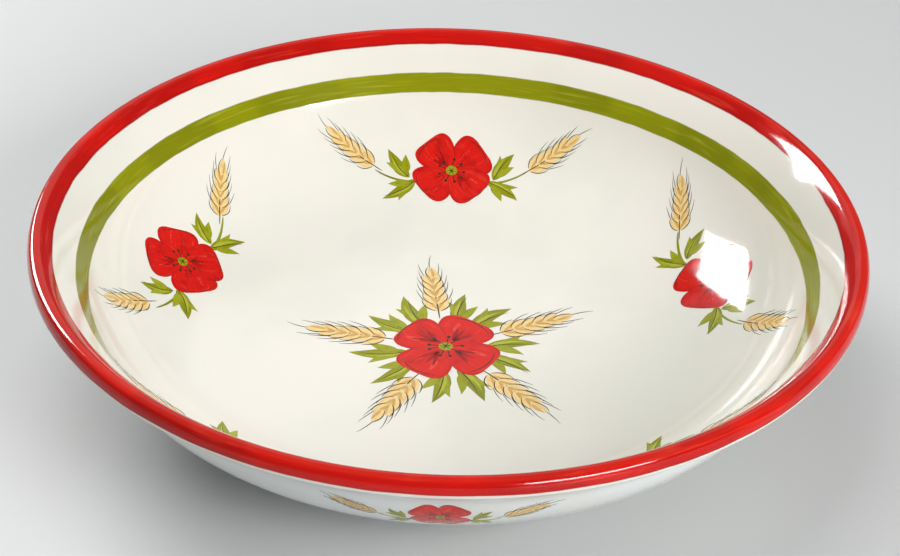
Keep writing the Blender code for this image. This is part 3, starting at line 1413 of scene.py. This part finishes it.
class Mark(Enum):
    """Kinds of stroke, each with its brush, length, width, narrowing to root and tip, tone and bow.

    A length of 1 or less is a share of the leaf or the grain that the stroke lies on.
    """

    PETAL = (Brush.PETAL, 17.5, 21.0, 0.62, 0.26, 0.50, 0.0)
    FOLD = (Brush.PETAL, 9.5, 1.7, 0.5, 1.3, 0.12, 0.0)
    SHINE = (Brush.PETAL, 6.0, 2.0, 0.6, 0.8, 0.95, 0.0)
    PETAL_RIM = (Brush.LINE, 16.5, 0.42, 0.4, 0.4, 0.35, -0.17)
    STAMEN = (Brush.LINE, 3.6, 0.5, 0.4, 0.4, 0.2, 0.0)
    ANTHER = (Brush.LINE, 1.5, 1.3, 0.5, 0.5, 0.1, 0.0)
    SEED_HEAD = (Brush.LEAF, 5.2, 4.8, 0.5, 0.5, 0.6, 0.0)
    SEED_RAY = (Brush.LINE, 4.0, 0.4, 0.4, 0.4, 0.2, 0.0)
    LEAF = (Brush.LEAF, 1.0, 5.6, 0.7, 1.1, 0.35, 0.07)
    LEAF_LOBE = (Brush.LEAF, 1.0, 3.8, 0.7, 1.2, 0.62, -0.06)
    LEAF_LIGHT = (Brush.LEAF, 0.7, 1.8, 0.6, 1.3, 0.95, 0.07)
    LEAF_VEIN = (Brush.LINE, 0.9, 0.4, 0.4, 0.8, 0.45, 0.07)
    STEM = (Brush.LEAF, 34.0, 1.3, 0.2, 0.3, 0.3, -0.13)
    STALK = (Brush.LINE, 24.0, 0.5, 0.3, 0.6, 0.6, 0.0)
    GRAIN = (Brush.GRAIN, 1.0, 3.5, 0.55, 0.75, 0.5, -0.05)
    GRAIN_SHADE = (Brush.GRAIN, 0.75, 1.2, 0.6, 0.9, 0.08, -0.05)
    GRAIN_OUTLINE = (Brush.LINE, 1.0, 0.4, 0.35, 0.5, 0.4, 0.17)
    BRISTLE = (Brush.LINE, 8.5, 0.3, 0.3, 0.8, 0.7, 0.04)

    def __init__(
        self, brush: Brush, length: float, width: float, root: float, tip: float, tone: float, bow: float
    ) -> None:
        """Keep the stroke's values.

        Args:
            brush: What the stroke paints.
            length: Length in millimetres, or a share.
            width: Greatest width in millimetres.
            root: How it narrows to its root.
            tip: How it narrows to its tip.
            tone: Thick and dark at 0, thin and light at 1.
            bow: How far its middle bows to its left, as a share of its length.
        """
        self.brush = brush
        self.length = length
        self.width = width
        self.root = root
        self.tip = tip
        self.tone = tone
        self.bow = bow


@dataclass
class FieldFlowers:
    """Strokes of poppies, leaves and ears of wheat, which a steady hand paints with small differences.

    Places on a flower are in millimetres and degrees from its middle or its root, before they are scaled.
    """

    seed: int
    layer_step: float = 0.000004
    flower_layer: int = 9
    bristle_layer: int = 12
    outline_layer: int = 14
    petal_turns: tuple[int, ...] = (45, 225, 135, 315)
    fold_leans: tuple[int, ...] = (-24, 2, 25)
    stamen_step: int = 40
    ray_turns: tuple[int, ...] = (0, 60, 120)
    grain_rows: int = 5
    first_grain: float = 5.0
    grain_step: float = 4.3
    grain_spread: float = 30.0
    grain_spread_loss: float = 2.5
    grain_length: float = 8.4
    grain_length_loss: float = 0.4
    last_grain: float = 26.0
    last_grain_length: float = 8.0
    rosette_ears: int = 5
    rosette_leaf_lean: float = 10.2
    turn_miss: float = 3.0
    petal_miss: float = 8.0
    stamen_miss: float = 9.0
    length_miss: float = 0.05
    width_miss: float = 0.08
    bow_miss: float = 0.015
    tone_miss: float = 0.08
    strokes: dict[Brush, list[Stroke]] = field(default_factory=lambda: {brush: [] for brush in Brush})

    def __post_init__(self) -> None:
        """Start the hand's small differences from a fixed seed."""
        self.hand = random.Random(self.seed)

    def _miss(self, most: float) -> float:
        """How far the hand misses this time."""
        return self.hand.uniform(-most, most)

    def stroke(
        self, mark: Mark, spot: Spot, layer: int = 0, side: int = 1, stretch: float = 1.0
    ) -> None:
        """Add one stroke that leaves a spot in the spot's direction.

        Args:
            mark: The kind of stroke.
            spot: Where the stroke starts and which way it goes.
            layer: How many steps of paint the stroke lies above the glaze.
            side: 1, or -1 for a stroke that bows the other way.
            stretch: Millimetres to a unit of the mark's length.
        """
        widest = mark.root / (mark.root + mark.tip)
        fullest = widest**mark.root * (1 - widest) ** mark.tip
        self.strokes[mark.brush].append(
            Stroke(
                x=spot.x,
                y=spot.y,
                turn=spot.turn + math.radians(self._miss(self.turn_miss)),
                length=mark.length * stretch * (1 + self._miss(self.length_miss)) * MM * spot.scale,
                width=mark.width * (1 + self._miss(self.width_miss)) * MM * spot.scale / fullest,
                bow=side * mark.bow + self._miss(self.bow_miss),
                root=mark.root,
                tip=mark.tip,
                tone=min(1.0, max(0.0, mark.tone + self._miss(self.tone_miss))),
                lift=layer * self.layer_step,
            )
        )

    def poppy(self, spot: Spot) -> None:
        """Paint an open poppy over its leaves: four wide petals, dark folds, a seed head and stamens.

        Args:
            spot: The flower's middle.
        """
        top = self.flower_layer + 2 * len(self.petal_turns)
        for order, turn in enumerate(self.petal_turns):
            layer = self.flower_layer + 2 * order
            petal = spot.spot(0, 0, turn + self._miss(self.petal_miss))
            self.stroke(Mark.PETAL, petal.spot(0.8), layer)
            for lean in self.fold_leans:
                self.stroke(Mark.FOLD, petal.spot(4.2, 0, lean), layer + 1)
            self.stroke(Mark.SHINE, petal.spot(9.0, 3.2, 12), layer + 1)
            self.stroke(Mark.PETAL_RIM, petal.spot(15.0, -8.2, 90), top)
        for turn in range(0, 360, self.stamen_step):
            stamen = spot.spot(0, 0, turn + self._miss(self.stamen_miss))
            self.stroke(Mark.STAMEN, stamen.spot(2.2), top)
            self.stroke(Mark.ANTHER, stamen.spot(5.2), top + 1)
        self.stroke(Mark.SEED_HEAD, spot.spot(-2.6), top + 2)
        for turn in self.ray_turns:
            self.stroke(Mark.SEED_RAY, spot.spot(0, 0, turn).spot(-2.0), top + 4)

    def leaf(self, spot: Spot, length: float) -> None:
        """Paint a leaf: a long stroke between two lobes, a light one on it and a fine middle line.

        Args:
            spot: The leaf's root.
            length: The leaf's length in millimetres.
        """
        self.stroke(Mark.LEAF, spot, stretch=length)
        for side, share in ((1, 0.62), (-1, 0.55)):
            lobe = spot.spot(0.16 * length, side * 0.6, side * 27)
            self.stroke(Mark.LEAF_LOBE, lobe, 2, side, share * length)
        self.stroke(Mark.LEAF_LIGHT, spot.spot(0.1 * length, 0.8, 2), 4, stretch=length)
        self.stroke(Mark.LEAF_VEIN, spot, 8, stretch=length)

    def ear(self, spot: Spot) -> None:
        """Paint an ear of wheat: paired grains on a stalk, fine outlines and long bristles.

        Args:
            spot: The stalk's root.
        """
        self.stroke(Mark.STALK, spot, 1)
        for row in range(self.grain_rows):
            along = self.first_grain + self.grain_step * row
            spread = self.grain_spread - self.grain_spread_loss * row
            length = self.grain_length - self.grain_length_loss * row
            for side in (1, -1):
                self._grain(spot.spot(along, side * 0.5, side * spread), side, length, row)
        self._grain(spot.spot(self.last_grain), 1, self.last_grain_length, self.grain_rows)

    def _grain(self, spot: Spot, side: int, length: float, row: int) -> None:
        """Paint one grain with its shaded side, its outline and its bristle.

        Args:
            spot: The grain's root.
            side: 1 on the left of the stalk, -1 on its right.
            length: The grain's length in millimetres.
            row: How many rows of grains lie under this one.
        """
        self.stroke(Mark.GRAIN, spot, 2 * row, side, length)
        shade = spot.spot(0.8, -0.7 * side)
        self.stroke(Mark.GRAIN_SHADE, shade, 2 * row + 1, side, length)
        outline = spot.spot(0.2, 0.4 * side)
        self.stroke(Mark.GRAIN_OUTLINE, outline, self.outline_layer, side, length)
        bristle = spot.spot(length - 0.6, 0, -12 * side)
        self.stroke(Mark.BRISTLE, bristle, self.bristle_layer, side)

    def spray(self, spot: Spot) -> None:
        """Paint a poppy between two curved stems that carry leaves and end in ears of wheat.

        Args:
            spot: The poppy's middle.
        """
        for side in (1, -1):
            stem = spot.spot(3 * side, -3, 0 if side > 0 else 180)
            self.stroke(Mark.STEM, stem, side=side)
            self.ear(spot.spot(33 * side, -3, 90 - 62 * side))
            self.leaf(spot.spot(17 * side, -6, 90 - 128 * side), 19.0)
            self.leaf(spot.spot(20 * side, -5, 90 - 36 * side), 17.0)
        self.poppy(spot)

    def rosette(self, spot: Spot) -> None:
        """Paint a poppy ringed by ears of wheat, with a pair of leaves between each two.

        Args:
            spot: The poppy's middle.
        """
        step = 360 / self.rosette_ears
        for number in range(self.rosette_ears):
            out = step * number + 90
            self.ear(spot.spot(0, 0, out).spot(17))
            for lean in (-self.rosette_leaf_lean, self.rosette_leaf_lean):
                leaf = spot.spot(0, 0, out + step / 2 + lean).spot(14, 0, lean)
                self.leaf(leaf, 20.0)
        self.poppy(spot)


@dataclass
class Decoration:
    """The painted flowers on the inside and round the outside."""

    skin: BowlSkin
    palette: Palette
    sprays_inside: int = 5
    spray_distance: float = 0.124
    first_spray: float = math.radians(90.0)
    rosette_scale: float = 1.2
    rosette_turn: float = math.radians(8.0)
    sprays_outside: int = 5
    outside_level: float = 0.044
    outside_scale: float = 0.62
    inside_seed: int = 11
    outside_seed: int = 23

    def build(self, tree: StrokeTree) -> None:
        """Paint both sides, and take the guide curve away again.

        Args:
            tree: The tree that wraps the strokes.
        """
        guide = self._guide()
        paints = self._paints()
        for name, flowers, layout in (
            ("inside", self._inside(), {}),
            ("outside", self._outside(), self._strip()),
        ):
            for brush, strokes in flowers.strokes.items():
                material, slot = paints[brush]
                piece = tree.paint(f"{name}_{brush.label}", strokes, brush, guide, material, **layout)
                ride(piece)
        curve = guide.data
        bpy.data.objects.remove(guide)
        bpy.data.curves.remove(curve)

    def _guide(self) -> bpy.types.Object:
        """Draw the skin as a curve for the strokes to follow.

        Returns:
            The curve's object.
        """
        curve = bpy.data.curves.new("skin_line", "CURVE")
        curve.dimensions = "3D"
        line = curve.splines.new("POLY")
        line.points.add(len(self.skin.points) - 1)
        for point, (radius, level) in zip(line.points, self.skin.points):
            point.co = (radius, 0.0, level, 1.0)
        guide = bpy.data.objects.new("skin_line", curve)
        bpy.context.scene.collection.objects.link(guide)
        return guide

    def _paints(self) -> dict[Brush, tuple[bpy.types.Material, str]]:
        """Mix the paints.

        Returns:
            Paint and material slot of each kind of stroke.
        """
        palette = self.palette
        recipes = {
            Brush.PETAL: ("petal_paint", palette.red, "red_rim"),
            Brush.LEAF: ("leaf_paint", palette.green, "green_stripe"),
            Brush.GRAIN: ("grain_paint", palette.straw, "straw_paint"),
            Brush.LINE: ("line_paint", palette.ink, "dark_line"),
        }
        return {
            brush: (StrokePaint(name, paint).build(), slot)
            for brush, (name, paint, slot) in recipes.items()
        }

    def _inside(self) -> FieldFlowers:
        """Lay out a rosette on the floor and a ring of sprays on the wall.

        Returns:
            The strokes.
        """
        flowers = FieldFlowers(self.inside_seed)
        flowers.rosette(Spot(0.0, 0.0, self.rosette_turn, self.rosette_scale))
        for number in range(self.sprays_inside):
            angle = self.first_spray + 2 * math.pi * number / self.sprays_inside
            x = self.spray_distance * math.cos(angle)
            y = self.spray_distance * math.sin(angle)
            flowers.spray(Spot(x, y, angle - math.pi / 2))
        return flowers

    def _strip(self) -> dict[str, float]:
        """Where the strip of flowers lies on the outer wall."""
        start = self.skin.outside_at(self.outside_level)
        return {"Strip": 1.0, "Strip_Radius": self.skin.at(start)[0], "Strip_Start": start}

    def _outside(self) -> FieldFlowers:
        """Lay out a row of smaller sprays along the strip.

        Returns:
            The strokes.
        """
        flowers = FieldFlowers(self.outside_seed)
        radius = self._strip()["Strip_Radius"]
        for number in range(self.sprays_outside):
            angle = self.first_spray + 2 * math.pi * (number + 0.5) / self.sprays_outside
            flowers.spray(Spot(radius * angle, 0.0, 0.0, self.outside_scale))
        return flowers


class Glow(Enum):
    """What a softbox does: it lights the bowl, or it shows in the bowl's gloss."""

    LIGHT = (True, False)
    GLOSS = (False, True)


@dataclass(frozen=True)
class Softbox:
    """A rectangular studio light, placed by the direction it shines from."""

    name: str
    azimuth: float
    elevation: float
    distance: float
    width: float
    height: float
    power: float
    glow: Glow
    roll: float = 0.0


@dataclass
class Studio:
    """A plain pale floor, soft lights and the camera."""

    floor_radius: float = 6.0
    floor_sides: int = 96
    floor_roughness: float = 0.55
    floor_specular: float = 0.2
    floor_clouds: float = 3.0
    floor_cloud_share: float = 0.3
    floor_pale: Colour = fired(205, 206, 205)
    floor_grey: Colour = fired(196, 197, 197)
    room_colour: Colour = (0.92, 0.95, 1.0, 1.0)
    room_strength: float = 0.15
    camera_place: tuple[float, float, float] = (0.0, -0.72342, 0.53434)
    camera_aim: tuple[float, float, float] = (0.00086, -0.01221, 0.05619)
    camera_roll: float = 0.03328
    lens: float = 84.0
    sensor_width: float = 36.0
    light_aim: tuple[float, float, float] = (0.0, 0.0, 0.05)
    softboxes: tuple[Softbox, ...] = (
        Softbox(
            "back_box", azimuth=131.8, elevation=31.2, distance=1.4, width=0.62, height=0.42,
            power=9.0, glow=Glow.LIGHT,
        ),
        Softbox(
            "back_glare", azimuth=131.9, elevation=31.8, distance=1.36, width=0.521, height=0.417,
            power=27.7, glow=Glow.GLOSS, roll=-8.1,
        ),
        Softbox(
            "back_panel", azimuth=101.0, elevation=28.0, distance=1.6, width=1.2, height=0.68,
            power=1.3, glow=Glow.GLOSS,
        ),
        Softbox(
            "front_box", azimuth=-46.0, elevation=28.0, distance=1.7, width=0.9, height=0.7,
            power=27.5, glow=Glow.LIGHT,
        ),
        Softbox(
            "rim_box", azimuth=-55.5, elevation=13.5, distance=1.9, width=1.0, height=0.3,
            power=30.0, glow=Glow.GLOSS,
        ),
        Softbox(
            "overhead_box", azimuth=150.0, elevation=74.0, distance=1.9, width=1.6, height=1.2,
            power=16.0, glow=Glow.LIGHT,
        ),
    )

    def build(self) -> None:
        """Make the floor, the lights, the world and the camera."""
        self._floor()
        for box in self.softboxes:
            self._light(box)
        self._world()
        self._camera()

    def _floor(self) -> None:
        """Lay a wide pale floor."""
        bpy.ops.mesh.primitive_circle_add(
            vertices=self.floor_sides, radius=self.floor_radius, fill_type="NGON"
        )
        floor = bpy.context.object
        floor.name = "floor"
        finish = Finish("floor_finish", self.floor_roughness, self.floor_specular)
        cloud = finish.graph.noise(finish.place, self.floor_clouds) * self.floor_cloud_share
        finish.set("Base Color", finish.graph.colour(cloud, self.floor_pale, self.floor_grey))
        floor.data.materials.append(finish.material)

    def _light(self, box: Softbox) -> None:
        """Hang one softbox and aim it at the bowl.

        Args:
            box: The softbox.
        """
        data = bpy.data.lights.new(box.name, "AREA")
        data.shape = "RECTANGLE"
        data.size = box.width
        data.size_y = box.height
        data.energy = box.power
        azimuth = math.radians(box.azimuth)
        elevation = math.radians(box.elevation)
        flat = math.cos(elevation)
        towards = Vector((flat * math.cos(azimuth), flat * math.sin(azimuth), math.sin(elevation)))
        lamp = bpy.data.objects.new(box.name, data)
        lamp.location = Vector(self.light_aim) + box.distance * towards
        roll = Quaternion((0, 0, 1), math.radians(box.roll))
        lamp.rotation_euler = (towards.to_track_quat("Z", "Y") @ roll).to_euler()
        lamp.visible_diffuse, lamp.visible_glossy = box.glow.value
        bpy.context.scene.collection.objects.link(lamp)

    def _world(self) -> None:
        """Give the room an even pale light and a neutral picture."""
        world = bpy.data.worlds.new("room")
        world.use_nodes = True
        background = world.node_tree.nodes["Background"]
        background.inputs["Color"].default_value = self.room_colour
        background.inputs["Strength"].default_value = self.room_strength
        scene = bpy.context.scene
        scene.world = world
        scene.view_settings.view_transform = "Standard"

    def _camera(self) -> None:
        """Set the camera at the photograph's viewing angle."""
        data = bpy.data.cameras.new("camera")
        data.lens = self.lens
        data.sensor_width = self.sensor_width
        data.sensor_fit = "HORIZONTAL"
        camera = bpy.data.objects.new("camera", data)
        place = Vector(self.camera_place)
        forward = (Vector(self.camera_aim) - place).normalized()
        camera.location = place
        camera.rotation_mode = "QUATERNION"
        roll = Quaternion((0, 0, 1), self.camera_roll)
        camera.rotation_quaternion = forward.to_track_quat("-Z", "Y") @ roll
        bpy.context.scene.collection.objects.link(camera)
        bpy.context.scene.camera = camera


def clear_start_up_scene() -> None:
    """Take away what Blender's start-up file shows, and keep the loaded frame."""
    kept = set(frame["nodes"].values()) | set(frame["bodies"].values())
    for thing in list(bpy.data.objects):
        if thing not in kept:
            bpy.data.objects.remove(thing, do_unlink=True)


def main() -> None:
    """Build the bowl, paint it and light it."""
    logging.basicConfig(level=logging.INFO, format="%(name)s: %(message)s")
    clear_start_up_scene()
    skin = BowlSkin()
    palette = Palette()
    unevenness = Unevenness()
    lathe = TurningTree(unevenness)
    Studio().build()
    TurnedBowl(skin, palette, lathe).build()
    Foot(skin, palette, lathe).build()
    Decoration(skin, palette).build(StrokeTree(unevenness))


if __name__ == "__main__":
    main()
